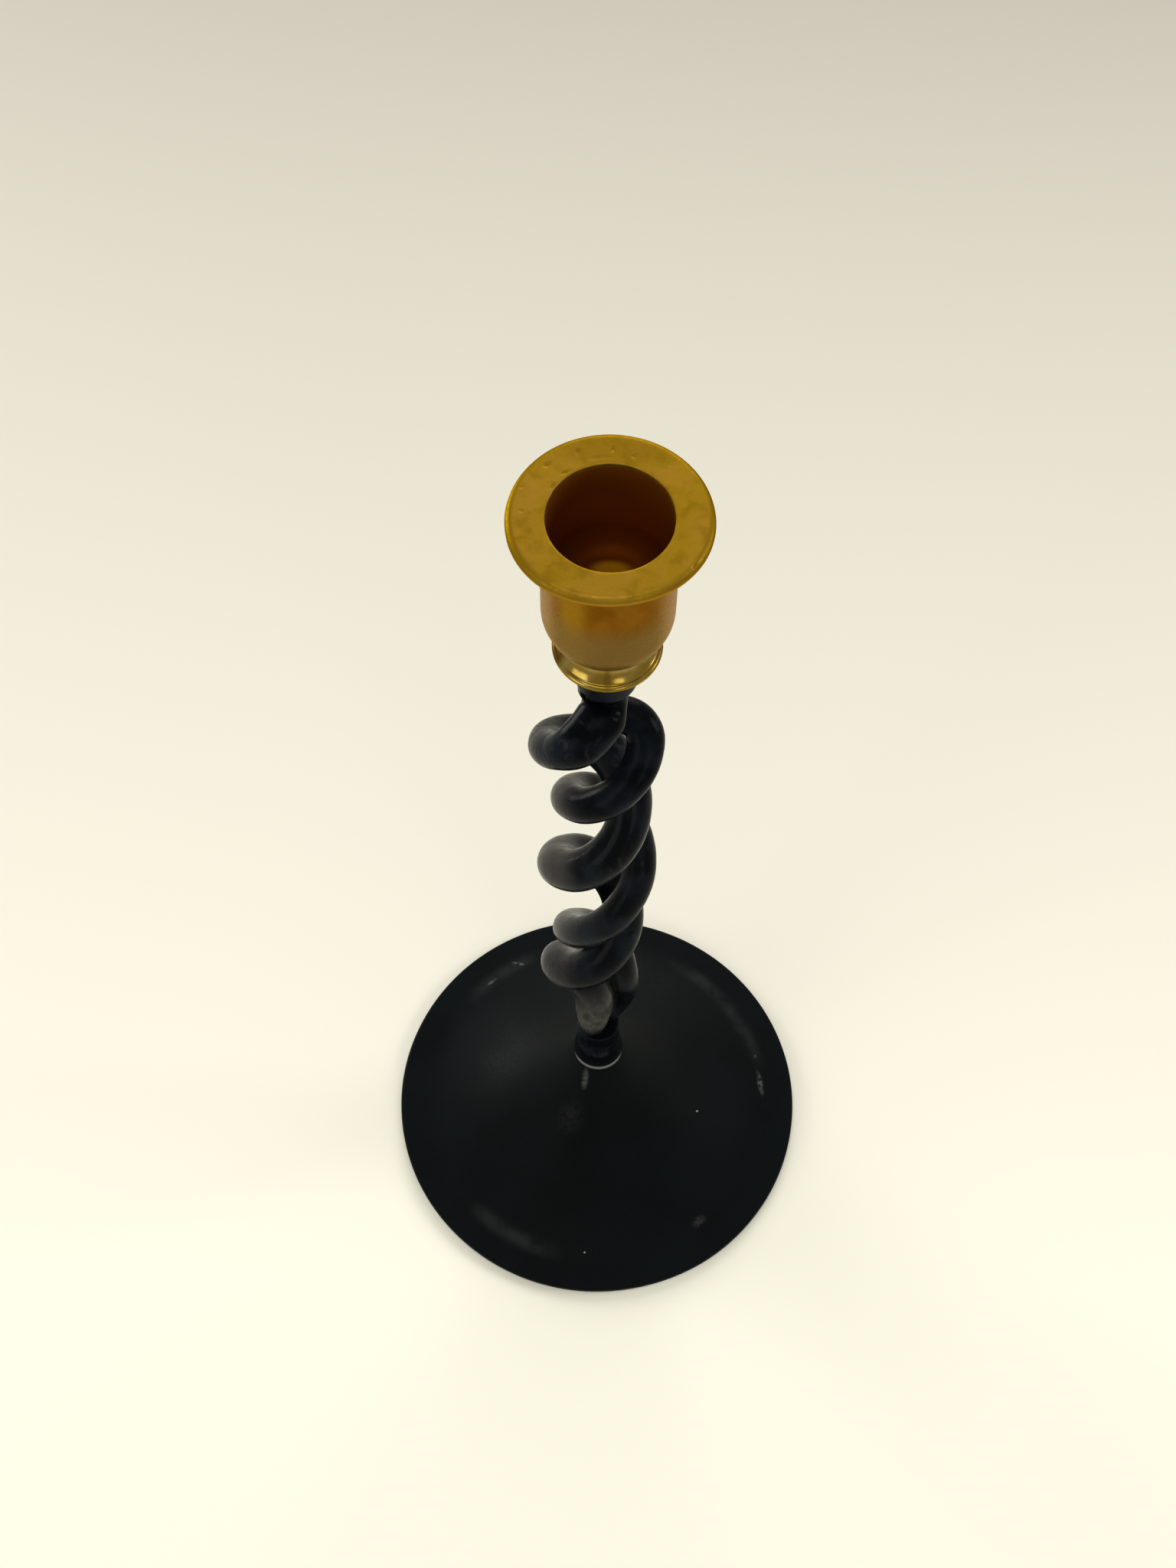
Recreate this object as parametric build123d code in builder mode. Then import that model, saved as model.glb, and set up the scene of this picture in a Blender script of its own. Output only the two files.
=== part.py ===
from build123d import *
from math import cos, pi, radians, sin, sqrt
import os

# Twisted two-strand candle holder: trumpet foot, open twisted stem, gold-coloured cup.
# Millimetres. The origin is on the axis at table height, +Z is up and -Y is the front.

# Trumpet foot
BASE_R = 53.2  # outer radius of the foot
BASE_H = 41.0  # table to the seat of the stem
BASE_WALL = 2.0  # wall of the casting
BORDER_W = 8.4  # flat border outside the crease
BORDER_FALL = 0.6  # fall of the border from the crease to the edge
EDGE_WALL = 1.8  # turned-down edge
EDGE_ROUND = 1.0  # rounding of the upper edge
TRUMPET_ARC_R = 58.0  # hollow curve from the border up to the seat
SEAT_R = 6.3  # flat seat on top of the trumpet
SEAT_LIP = 1.2  # straight rim below the seat
SEAT_WALL = 9.0  # thick metal under the seat, which the screw goes through
SEAT_ROUND = 0.3  # worn edge of the seat

# Felt ring under the border
FELT_T = 1.2
FELT_W = 4.0
FELT_PROUD = 0.6  # felt below the metal edge
FELT_GAP = 0.4  # felt to the turned-down edge

# Threads and fasteners, all M6
THREAD_R = 3.0
THREAD_GAP = 0.1  # thread to its tapped hole
HOLE_GAP = 0.3  # thread to a plain hole
TAP_END_GAP = 1.0  # end of a thread to the end of its tapped hole
SCREW_REACH = 9.0  # base screw inside the foot boss
SCREW_HEAD_FLATS = 10.0
SCREW_HEAD_H = 4.0
WASHER_R = 6.0
WASHER_T = 1.2
STUD_REACH = 8.5  # stud inside the neck boss and inside the cup
FASTENER_EDGE = 0.4  # small bevels on screw and stud ends

# Flared boss at the foot of the stem
FOOT_H = 15.0
FOOT_NECK_R = 4.4
FOOT_NECK_H = 4.0
FOOT_FLARE_R = 5.4
FOOT_FLARE_T = 1.0

# Collar at the neck of the stem
NECK_H = 12.5
NECK_R = 4.9
NECK_CORE_H = 2.0  # narrower core under the collar
NECK_EDGE = 0.3

# Twisted strands
STEM_H = 165.5  # between the two bosses
ROD_A_D = 9.1
ROD_B_D = 7.4
A_NECK_TIP_R = 2.7  # drawn-down ends, side by side on the neck boss
B_NECK_TIP_R = 1.9
A_FOOT_TIP_R = 3.1  # and on the foot boss
B_FOOT_TIP_R = 1.9
FOOT_DRAW_H = 17.0  # height over which the ends are drawn down at the foot
STRAND_GAP = 0.2  # between the two ends
TIP_MARGIN = 0.1  # tips to the edge of a boss
SECTIONS = 4  # steps of a drawn-down end
NECK_ANGLE = 326.0  # direction from the axis to the tip of strand A at the neck
FOOT_ANGLE = 214.0  # the same at the foot
FOOT_SHIFT_X = 2.7  # both strands lean to the right just above the foot
FOOT_SHIFT_Y = 1.5  # and to the back
A_QUARTERS = 8  # quarter turns between its first side and its last
A_TWIST_R = 7.3  # centre line of strand A
A_LEAN = -2.2  # axis of its twist, to the left
A_SWELL = 1.1  # wider first loop
A_NECK_REACH = 4.9  # axis to its full rod at the neck
A_NECK_ANGLE = 263.0  # direction of its full rod there
A_NECK_DROP = 5.4  # neck boss down to its full rod
A_NECK_EASE = 1.6  # above 1 its end stays slim for longer
A_FIRST = 23.4  # neck boss down to its first side, on the left
A_LAST = 36.8  # foot boss up to its last side
A_OPENING = 0.0  # share by which the pitch grows downwards
B_QUARTERS = 7
B_TWIST_R = 7.6
B_LEAN = 0.4
B_SWELL = 0.0
B_NECK_REACH = 3.4
B_NECK_ANGLE = 110.0
B_NECK_DROP = 13.8
B_NECK_EASE = 2.6
B_FIRST = 22.0
B_LAST = 36.8
B_OPENING = 0.3
COIL_STEPS = 240  # points on which the gaps are measured

# Polished reel under the cup
REEL_H = 5.6
REEL_FLANGE_R = 10.2
REEL_FLANGE_T = 1.6
REEL_WAIST_R = 7.8

# Candle cup
CUP_H = 35.3
CUP_R = 12.1
CUP_BELLY_H = 8.5  # rounded bottom
LIP_R = 17.8
LIP_T = 2.7
LIP_COVE_R = 2.5
BORE_R = 11.0  # takes a 22 mm taper candle
BORE_DEPTH = 22.5
BORE_CORNER_R = 4.6
MOUTH_BEVEL = 0.4

# Heights of the joints between the pieces
FOOT_Z = BASE_H
STEM_Z = FOOT_Z + FOOT_H
NECK_Z = STEM_Z + STEM_H
REEL_Z = NECK_Z + NECK_H
CUP_Z = REEL_Z + REEL_H
CUP_TOP = CUP_Z + CUP_H

# Holes and bosses that follow from the sizes above
TAP_R = THREAD_R + THREAD_GAP
HOLE_R = THREAD_R + HOLE_GAP
NECK_FACE_R = A_NECK_TIP_R + B_NECK_TIP_R + STRAND_GAP / 2 + TIP_MARGIN
FOOT_FACE_R = A_FOOT_TIP_R + B_FOOT_TIP_R + STRAND_GAP / 2 + TIP_MARGIN

os.makedirs("parts", exist_ok=True)


def save(piece, name):
    """Label a finished piece and write its file."""
    piece.label = name
    export_step(piece, f"parts/{name}.step")


# Trumpet foot: one hollow arc outside, the same arc one wall further in
crease_r = BASE_R - BORDER_W
crease_z = FELT_T + BASE_WALL
rim_z = BASE_H - SEAT_LIP
ceiling_z = BASE_H - SEAT_WALL
half_chord = sqrt((crease_r - SEAT_R) ** 2 + (rim_z - crease_z) ** 2) / 2
arc_height = sqrt(TRUMPET_ARC_R**2 - half_chord**2)
arc_r = (crease_r + SEAT_R) / 2 + arc_height * (rim_z - crease_z) / (2 * half_chord)
arc_z = (crease_z + rim_z) / 2 + arc_height * (crease_r - SEAT_R) / (2 * half_chord)


def trumpet_r(height, radius):
    """Radius of a hollow arc about the trumpet's arc centre, at a height."""
    return arc_r - sqrt(radius**2 - (arc_z - height) ** 2)


outer_mid_z = (crease_z + rim_z) / 2
inner_mid_z = (FELT_T + ceiling_z) / 2
inner_arc_r = TRUMPET_ARC_R + BASE_WALL
edge_in_r = BASE_R - EDGE_WALL

with BuildPart() as base_shell:
    with BuildSketch(Plane.XZ):
        with BuildLine():
            Polyline((HOLE_R, ceiling_z), (HOLE_R, BASE_H), (SEAT_R, BASE_H), (SEAT_R, rim_z))
            ThreePointArc(
                (SEAT_R, rim_z),
                (trumpet_r(outer_mid_z, TRUMPET_ARC_R), outer_mid_z),
                (crease_r, crease_z),
            )
            Polyline(
                (crease_r, crease_z),
                (BASE_R, crease_z - BORDER_FALL),
                (BASE_R, FELT_PROUD),
                (edge_in_r, FELT_PROUD),
                (edge_in_r, FELT_T),
                (trumpet_r(FELT_T, inner_arc_r), FELT_T),
            )
            ThreePointArc(
                (trumpet_r(FELT_T, inner_arc_r), FELT_T),
                (trumpet_r(inner_mid_z, inner_arc_r), inner_mid_z),
                (trumpet_r(ceiling_z, inner_arc_r), ceiling_z),
            )
            Line((trumpet_r(ceiling_z, inner_arc_r), ceiling_z), (HOLE_R, ceiling_z))
        make_face()
    revolve(axis=Axis.Z)
    rings = base_shell.edges().filter_by(GeomType.CIRCLE)
    fillet(rings.filter_by(lambda e: e.radius == BASE_R).sort_by(Axis.Z)[-1], EDGE_ROUND)
    rings = base_shell.edges().filter_by(GeomType.CIRCLE)
    fillet(rings.filter_by(lambda e: e.radius == SEAT_R).sort_by(Axis.Z)[-1], SEAT_ROUND)
save(base_shell.part, "base_shell")

with BuildPart() as base_felt:
    with BuildSketch():
        Circle(edge_in_r - FELT_GAP)
        Circle(edge_in_r - FELT_GAP - FELT_W, mode=Mode.SUBTRACT)
    extrude(amount=FELT_T)
save(base_felt.part, "base_felt")

# Screw and washer that clamp the foot to the stem from below
head_top = ceiling_z - WASHER_T

with BuildPart() as base_washer:
    with BuildSketch(Plane.XY.offset(head_top)):
        Circle(WASHER_R)
        Circle(HOLE_R, mode=Mode.SUBTRACT)
    extrude(amount=WASHER_T)
save(base_washer.part, "base_washer")

with BuildPart() as base_screw:
    with BuildSketch(Plane.XY.offset(head_top - SCREW_HEAD_H)):
        RegularPolygon(SCREW_HEAD_FLATS / 2, 6, major_radius=False)
    extrude(amount=SCREW_HEAD_H)
    with BuildSketch(Plane.XY.offset(head_top)):
        Circle(THREAD_R)
    extrude(amount=WASHER_T + SEAT_WALL + SCREW_REACH)
    chamfer(base_screw.edges().sort_by(Axis.Z)[-1], FASTENER_EDGE)
save(base_screw.part, "base_screw")

# Flared boss on the seat: undercut neck, sharp flare, hollow taper up to the strands
flare_top = FOOT_Z + FOOT_NECK_H + FOOT_FLARE_T
foot_tap_z = FOOT_Z + SCREW_REACH + TAP_END_GAP

with BuildPart() as foot_boss:
    with BuildSketch(Plane.XZ):
        with BuildLine():
            Polyline(
                (0, STEM_Z),
                (0, foot_tap_z),
                (TAP_R, foot_tap_z),
                (TAP_R, FOOT_Z),
                (FOOT_NECK_R, FOOT_Z),
                (FOOT_NECK_R, FOOT_Z + FOOT_NECK_H),
                (FOOT_FLARE_R, FOOT_Z + FOOT_NECK_H),
                (FOOT_FLARE_R, flare_top),
            )
            TangentArc((FOOT_FACE_R, STEM_Z), (FOOT_FLARE_R, flare_top), tangent=(0, -1))
            Line((FOOT_FACE_R, STEM_Z), (0, STEM_Z))
        make_face()
    revolve(axis=Axis.Z)
save(foot_boss.part, "foot_boss")


def place(angle, reach, height):
    """Point at a direction and a distance from the axis, at a height."""
    across = radians(angle)
    return Vector(reach * cos(across), reach * sin(across), height)


def join(start, start_way, end, end_way):
    """Joint of the two tangent arcs that lead from one point and direction to another."""
    chord = end - start
    ways = start_way + end_way
    spread = 2 * (1 - start_way.dot(end_way))
    along = chord.dot(ways)
    reach = (sqrt(along**2 + spread * chord.dot(chord)) - along) / spread
    first, last = start + start_way * reach, end - end_way * reach
    return (first + last) * 0.5, (last - first).normalized()


def make_strand(
    rod_d, side, quarters, twist_r, lean, swell, first, last, opening,
    neck_end, neck_ease, neck_tip_r, foot_tip_r,
):
    """One rod of the twist, with its centre line in quarter turns of two tangent arcs each."""
    rod_r = rod_d / 2
    twist_h = STEM_H - first - last
    start_angle = pi if side > 0 else 0

    def station(quarter):
        share = quarter / quarters
        angle = start_angle - quarter * pi / 2
        radius = twist_r + swell * (1 - share) ** 4
        narrowing = -4 * swell * (1 - share) ** 3 / quarters
        fall = twist_h * ((1 - opening) * share + opening * share**2)
        pace = twist_h * (1 - opening + 2 * opening * share) / quarters
        point = Vector(lean + radius * cos(angle), radius * sin(angle), NECK_Z - first - fall)
        turning = radius * pi / 2
        way = Vector(
            narrowing * cos(angle) + turning * sin(angle),
            narrowing * sin(angle) - turning * cos(angle),
            -pace,
        )
        return point, way.normalized()

    neck_tip = place(NECK_ANGLE, side * (NECK_FACE_R - TIP_MARGIN - neck_tip_r), NECK_Z)
    foot_tip = place(FOOT_ANGLE, side * (FOOT_FACE_R - TIP_MARGIN - foot_tip_r), STEM_Z)
    foot_lean = Vector(FOOT_SHIFT_X, FOOT_SHIFT_Y, FOOT_DRAW_H)
    foot_end = place(FOOT_ANGLE, side * (rod_r + STRAND_GAP / 2), STEM_Z) + foot_lean

    # The neck end bends over from its boss, the foot end stands upright on its own
    down = Vector(0, 0, -1)
    with BuildLine() as horn:
        TangentArc(neck_tip, neck_end, tangent=down)
    neck_way = horn.line % 1
    neck_side = down.cross(neck_way).normalized()
    route = [(neck_end, neck_way)]
    route += [station(quarter) for quarter in range(quarters + 1)]
    route.append((foot_end, down))

    with BuildPart() as rod:
        with BuildLine() as centre_line:
            for (start, start_way), (end, end_way) in zip(route, route[1:]):
                middle, middle_way = join(start, start_way, end, end_way)
                TangentArc(start, middle, tangent=start_way)
                TangentArc(middle, end, tangent=middle_way)
        with BuildSketch(Plane(neck_end, x_dir=neck_side, z_dir=neck_way)):
            Circle(rod_r)
        sweep()
        # Ends drawn down smoothly from the full rod to the bosses
        for step in range(SECTIONS + 1):
            share = step / SECTIONS
            at, way = horn.line @ share, horn.line % share
            with BuildSketch(Plane(at, x_dir=neck_side, z_dir=way)):
                Circle(neck_tip_r + (rod_r - neck_tip_r) * (1 - cos(pi * share**neck_ease)) / 2)
        loft()
        for step in range(SECTIONS + 1):
            share = step / SECTIONS
            eased = sin(share * pi / 2)
            at = foot_tip + (foot_end - foot_tip) * eased
            with BuildSketch(Plane((at.X, at.Y, STEM_Z + FOOT_DRAW_H * share))):
                Circle(foot_tip_r + (rod_r - foot_tip_r) * eased)
        loft()
    return rod.part, centre_line.wires()[0]


def report_strand(name, solid, line, rod_r):
    """Print the tightest bend, the volume against section times length and the least gap to itself."""
    bends = [edge.radius for edge in line.edges()]
    swept = pi * rod_r**2 * line.length
    points = [line @ (n / COIL_STEPS) for n in range(COIL_STEPS + 1)]
    apart = round(2 * pi * rod_r / (line.length / COIL_STEPS))
    gap = min(
        (points[m] - points[n]).length
        for n in range(len(points))
        for m in range(n + apart, len(points))
    )
    print(
        f"{name}: tightest bend {min(bends):.1f}, rod volume {swept:.0f} of {solid.volume:.0f}, "
        f"least gap to itself {gap - 2 * rod_r:.2f}"
    )
    return points


neck_a = place(A_NECK_ANGLE, A_NECK_REACH, NECK_Z - A_NECK_DROP)
neck_b = place(B_NECK_ANGLE, B_NECK_REACH, NECK_Z - B_NECK_DROP)
strand_a, line_a = make_strand(
    ROD_A_D,
    1,
    A_QUARTERS,
    A_TWIST_R,
    A_LEAN,
    A_SWELL,
    A_FIRST,
    A_LAST,
    A_OPENING,
    neck_a,
    A_NECK_EASE,
    A_NECK_TIP_R,
    A_FOOT_TIP_R,
)
save(strand_a, "strand_a")
strand_b, line_b = make_strand(
    ROD_B_D,
    -1,
    B_QUARTERS,
    B_TWIST_R,
    B_LEAN,
    B_SWELL,
    B_FIRST,
    B_LAST,
    B_OPENING,
    neck_b,
    B_NECK_EASE,
    B_NECK_TIP_R,
    B_FOOT_TIP_R,
)
save(strand_b, "strand_b")
points_a = report_strand("strand_a", strand_a, line_a, ROD_A_D / 2)
points_b = report_strand("strand_b", strand_b, line_b, ROD_B_D / 2)
strand_gap = min((a - b).length for a in points_a for b in points_b) - (ROD_A_D + ROD_B_D) / 2
print(f"least gap between the strands {strand_gap:.2f}")

# Collar at the neck, over a narrower core that the strands end on
neck_tap_z = REEL_Z - STUD_REACH - TAP_END_GAP

with BuildPart() as neck_boss:
    with BuildSketch(Plane.XZ):
        with BuildLine():
            Polyline(
                (0, NECK_Z),
                (NECK_FACE_R, NECK_Z),
                (NECK_FACE_R, NECK_Z + NECK_CORE_H),
                (NECK_R, NECK_Z + NECK_CORE_H),
                (NECK_R, REEL_Z),
                (TAP_R, REEL_Z),
                (TAP_R, neck_tap_z),
                (0, neck_tap_z),
                close=True,
            )
        make_face()
    revolve(axis=Axis.Z)
    chamfer(neck_boss.edges().filter_by(GeomType.CIRCLE).sort_by(Axis.Z)[-2:], NECK_EDGE)
save(neck_boss.part, "neck_boss")

with BuildPart() as cup_stud:
    with BuildSketch(Plane.XY.offset(REEL_Z - STUD_REACH)):
        Circle(THREAD_R)
    extrude(amount=REEL_H + 2 * STUD_REACH)
    chamfer(cup_stud.edges().filter_by(GeomType.CIRCLE), FASTENER_EDGE)
save(cup_stud.part, "cup_stud")

# Polished reel: thin flange with a full-round edge and a hollow curve up to the waist
flange_edge_r = REEL_FLANGE_R - REEL_FLANGE_T / 2
flange_top = REEL_Z + REEL_FLANGE_T

with BuildPart() as cup_foot:
    with BuildSketch(Plane.XZ):
        with BuildLine():
            Polyline(
                (REEL_WAIST_R, CUP_Z), (HOLE_R, CUP_Z), (HOLE_R, REEL_Z), (flange_edge_r, REEL_Z)
            )
            TangentArc((flange_edge_r, REEL_Z), (flange_edge_r, flange_top), tangent=(1, 0))
            TangentArc((REEL_WAIST_R, CUP_Z), (flange_edge_r, flange_top), tangent=(0, -1))
        make_face()
    revolve(axis=Axis.Z)
save(cup_foot.part, "cup_foot")

# Candle cup: rounded bottom, straight wall, cove and flat lip with a full-round edge
floor_z = CUP_TOP - BORE_DEPTH
cup_tap_z = CUP_Z + STUD_REACH + TAP_END_GAP
belly_z = CUP_Z + CUP_BELLY_H
lip_under = CUP_TOP - LIP_T
lip_edge_r = LIP_R - LIP_T / 2
corner_z = floor_z + BORE_CORNER_R

with BuildPart() as candle_cup:
    with BuildSketch(Plane.XZ):
        with BuildLine():
            Polyline(
                (0, floor_z),
                (0, cup_tap_z),
                (TAP_R, cup_tap_z),
                (TAP_R, CUP_Z),
                (REEL_WAIST_R, CUP_Z),
            )
            TangentArc((CUP_R, belly_z), (REEL_WAIST_R, CUP_Z), tangent=(0, -1))
            Line((CUP_R, belly_z), (CUP_R, lip_under - LIP_COVE_R))
            TangentArc(
                (CUP_R, lip_under - LIP_COVE_R), (CUP_R + LIP_COVE_R, lip_under), tangent=(0, 1)
            )
            Line((CUP_R + LIP_COVE_R, lip_under), (lip_edge_r, lip_under))
            TangentArc((lip_edge_r, lip_under), (lip_edge_r, CUP_TOP), tangent=(1, 0))
            Polyline(
                (lip_edge_r, CUP_TOP),
                (BORE_R + MOUTH_BEVEL, CUP_TOP),
                (BORE_R, CUP_TOP - MOUTH_BEVEL),
                (BORE_R, corner_z),
            )
            TangentArc((BORE_R, corner_z), (BORE_R - BORE_CORNER_R, floor_z), tangent=(0, -1))
            Line((BORE_R - BORE_CORNER_R, floor_z), (0, floor_z))
        make_face()
    revolve(axis=Axis.Z)
save(candle_cup.part, "candle_cup")
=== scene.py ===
"""Looks of a twisted candle holder: black trumpet foot, two bent rods and a gold-coloured cup."""

import logging
import math
from collections.abc import Callable, Sequence
from dataclasses import dataclass, field
from enum import Enum

import bmesh
import bpy
from mathutils import Matrix, Vector, noise


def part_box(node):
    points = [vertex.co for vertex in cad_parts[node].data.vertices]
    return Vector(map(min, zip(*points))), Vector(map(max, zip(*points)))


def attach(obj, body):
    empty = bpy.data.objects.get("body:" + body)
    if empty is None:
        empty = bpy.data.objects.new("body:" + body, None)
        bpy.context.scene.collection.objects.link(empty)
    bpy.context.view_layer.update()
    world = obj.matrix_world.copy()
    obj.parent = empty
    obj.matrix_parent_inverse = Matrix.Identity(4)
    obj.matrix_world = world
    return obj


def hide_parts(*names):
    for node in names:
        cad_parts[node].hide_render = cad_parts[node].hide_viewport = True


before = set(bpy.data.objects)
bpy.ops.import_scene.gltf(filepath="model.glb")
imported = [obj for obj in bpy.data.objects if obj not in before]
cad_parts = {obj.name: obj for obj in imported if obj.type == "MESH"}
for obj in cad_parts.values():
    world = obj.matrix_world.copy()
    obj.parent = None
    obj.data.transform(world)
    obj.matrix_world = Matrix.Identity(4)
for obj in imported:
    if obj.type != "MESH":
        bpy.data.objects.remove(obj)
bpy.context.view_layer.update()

LOG = logging.getLogger("candle_holder")
MM = 0.001
BODY = "root"
MARK_TALL = 1000.0  # a mark reaches through every height
ON_AXIS = 1e-7  # a point nearer than this lies on the axis
EASE = 0.5  # strength of one round of smoothing
RIPPLE_SHIFT = Vector((7, 3, 5))  # sets the ripples apart from the swells

Colour = tuple[float, float, float, float]
Span = tuple[float, float]
Socket = bpy.types.NodeSocket
Material = bpy.types.Material
Piece = bpy.types.Object
Vertex = bpy.types.MeshVertex
Shift = Callable[[Vector], float]


class Node(str, Enum):
    """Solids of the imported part."""

    BASE = "base_shell"
    FELT = "base_felt"
    SCREW = "base_screw"
    WASHER = "base_washer"
    FOOT_BOSS = "foot_boss"
    STRAND_A = "strand_a"
    STRAND_B = "strand_b"
    NECK_BOSS = "neck_boss"
    STUD = "cup_stud"
    REEL = "cup_foot"
    CUP = "candle_cup"


class Slot(str, Enum):
    """Finishes named in the part's record."""

    MATT_BLACK = "matt_black"
    SATIN_BLACK = "satin_black"
    SATIN_GOLD = "satin_gold"
    POLISHED_GOLD = "polished_gold"
    ZINC = "zinc_steel"
    FELT = "felt"


@dataclass(frozen=True)
class Mark:
    """A scuff, chip or pit, seen from above, in millimetres and degrees."""

    x: float
    y: float
    length: float
    width: float
    turn: float = 0.0
    strength: float = 1.0
    core: float = 0.2


@dataclass(frozen=True)
class Pattern:
    """Cloudy pattern: patches per metre, octaves, values that become 0 and 1, swirl, stretch and relief."""

    scale: float
    detail: float = 3.0
    limits: Span | None = None
    swirl: float = 0.0
    stretch: tuple[float, float, float] | None = None
    depth: float = 0.0


@dataclass(frozen=True)
class Specks:
    """Scattered specks: points per metre, edge and core of a speck, and how strong it is."""

    scale: float
    edge: float
    core: float
    strength: float = 1.0


class ShaderGraph:
    """A material under construction, with short calls for the nodes that the finishes share."""

    def __init__(self, name: str) -> None:
        """Start an empty principled material under a name."""
        self.material = bpy.data.materials.new(name)
        self.material.use_nodes = True
        self.tree = self.material.node_tree
        self.shader = self.tree.nodes["Principled BSDF"]
        self.place: Socket = self.tree.nodes.new("ShaderNodeTexCoord").outputs["Object"]

    def feed(self, target: Socket, value: object) -> None:
        """Link an output socket to an input, or set a plain number or colour on it."""
        if isinstance(value, Socket):
            self.tree.links.new(value, target)
        else:
            target.default_value = value

    def surface(self, **values: object) -> None:
        """Fill inputs of the principled shader, named with underscores for spaces."""
        for name, value in values.items():
            self.feed(self.shader.inputs[name.replace("_", " ")], value)

    def noise(self, pattern: Pattern) -> Socket:
        """Cloudy pattern, which runs from 0 to 1 where it has limits."""
        node = self.tree.nodes.new("ShaderNodeTexNoise")
        self.feed(node.inputs["Vector"], self.stretch(pattern.stretch) if pattern.stretch else self.place)
        self.feed(node.inputs["Scale"], pattern.scale)
        self.feed(node.inputs["Detail"], pattern.detail)
        self.feed(node.inputs["Distortion"], pattern.swirl)
        return self.remap(node.outputs[0], *pattern.limits) if pattern.limits else node.outputs[0]

    def specks(self, specks: Specks) -> Socket:
        """Scattered specks, 0 between them."""
        node = self.tree.nodes.new("ShaderNodeTexVoronoi")
        self.feed(node.inputs["Vector"], self.place)
        self.feed(node.inputs["Scale"], specks.scale)
        return self.remap(node.outputs["Distance"], specks.edge, specks.core, 0.0, specks.strength)

    def stretch(self, scale: Sequence[float]) -> Socket:
        """The piece's own coordinates, scaled along X, Y and Z."""
        node = self.tree.nodes.new("ShaderNodeMapping")
        self.feed(node.inputs["Vector"], self.place)
        self.feed(node.inputs["Scale"], tuple(scale))
        return node.outputs["Vector"]

    def maths(self, operation: str, first: object, second: object = 0.0, clamp: bool = False) -> Socket:
        """One sum on two sockets or numbers, such as MAXIMUM, kept from 0 to 1 on demand."""
        node = self.tree.nodes.new("ShaderNodeMath")
        node.operation = operation
        node.use_clamp = clamp
        self.feed(node.inputs[0], first)
        self.feed(node.inputs[1], second)
        return node.outputs[0]

    def plus(self, first: object, second: object, clamp: bool = False) -> Socket:
        """Sum of two sockets or numbers, kept from 0 to 1 on demand."""
        return self.maths("ADD", first, second, clamp)

    def times(self, first: object, *others: object) -> Socket:
        """Product of sockets and numbers."""
        product = first
        for other in others:
            product = self.maths("MULTIPLY", product, other)
        return product

    def remap(self, value: Socket, start: float, end: float, low: float = 0.0, high: float = 1.0) -> Socket:
        """Smooth step of a value from one range, start to end, to another, low to high."""
        node = self.tree.nodes.new("ShaderNodeMapRange")
        node.interpolation_type = "SMOOTHSTEP"
        for name, number in zip(("From Min", "From Max", "To Min", "To Max"), (start, end, low, high)):
            self.feed(node.inputs[name], number)
        self.feed(node.inputs["Value"], value)
        return node.outputs[0]

    def between(self, share: Socket, ends: Span) -> Socket:
        """Number between two ends, at a share from 0 to 1."""
        return self.remap(share, 0.0, 1.0, *ends)

    def blend(self, share: Socket, first: object, second: object) -> Socket:
        """Colour between two others, the first at a share of 0 and the second at 1."""
        node = self.tree.nodes.new("ShaderNodeMix")
        node.data_type = "RGBA"
        self.feed(node.inputs[0], share)
        self.feed(node.inputs[6], first)
        self.feed(node.inputs[7], second)
        return node.outputs[2]

    def bump(self, height: Socket, depth: float, under: Socket | None = None) -> Socket:
        """Relief of a pattern, with its depth in metres, over a coarser relief if there is one."""
        node = self.tree.nodes.new("ShaderNodeBump")
        self.feed(node.inputs["Height"], height)
        self.feed(node.inputs["Distance"], depth)
        if under is not None:
            self.feed(node.inputs["Normal"], under)
        return node.outputs["Normal"]

    def relief(self, pattern: Pattern, under: Socket | None = None) -> Socket:
        """Relief of a pattern that is used for nothing else, over a coarser one if there is one."""
        return self.bump(self.noise(pattern), pattern.depth, under)

    def split(self) -> tuple[Socket, Socket, Socket]:
        """X, Y and Z of the piece's own coordinates."""
        node = self.tree.nodes.new("ShaderNodeSeparateXYZ")
        self.feed(node.inputs[0], self.place)
        return node.outputs[0], node.outputs[1], node.outputs[2]

    def radius(self) -> Socket:
        """Distance from the holder's axis."""
        x, y, _ = self.split()
        return self.maths("SQRT", self.plus(self.times(x, x), self.times(y, y)))

    def ring(self, radius: float, width: float, strength: float = 1.0) -> Socket:
        """Soft-edged ring about the holder's axis, with its fade to each side and its strength."""
        off = self.maths("ABSOLUTE", self.maths("SUBTRACT", self.radius(), radius))
        return self.remap(off, width, 0.0, 0.0, strength)

    def mark(self, mark: Mark) -> Socket:
        """Soft-edged patch, strongest in its middle and 0 outside."""
        node = self.tree.nodes.new("ShaderNodeMapping")
        node.vector_type = "TEXTURE"
        self.feed(node.inputs["Vector"], self.place)
        node.inputs["Location"].default_value = (mark.x * MM, mark.y * MM, 0)
        node.inputs["Rotation"].default_value = (0, 0, math.radians(mark.turn))
        node.inputs["Scale"].default_value = (mark.length * MM / 2, mark.width * MM / 2, MARK_TALL)
        length = self.tree.nodes.new("ShaderNodeVectorMath")
        length.operation = "LENGTH"
        self.feed(length.inputs[0], node.outputs["Vector"])
        return self.remap(length.outputs["Value"], 1.0, mark.core, 0.0, mark.strength)

    def marks(self, marks: Sequence[Mark]) -> Socket:
        """The strongest of a piece's patches at each point."""
        found = self.mark(marks[0])
        for mark in marks[1:]:
            found = self.maths("MAXIMUM", found, self.mark(mark))
        return found


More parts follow.
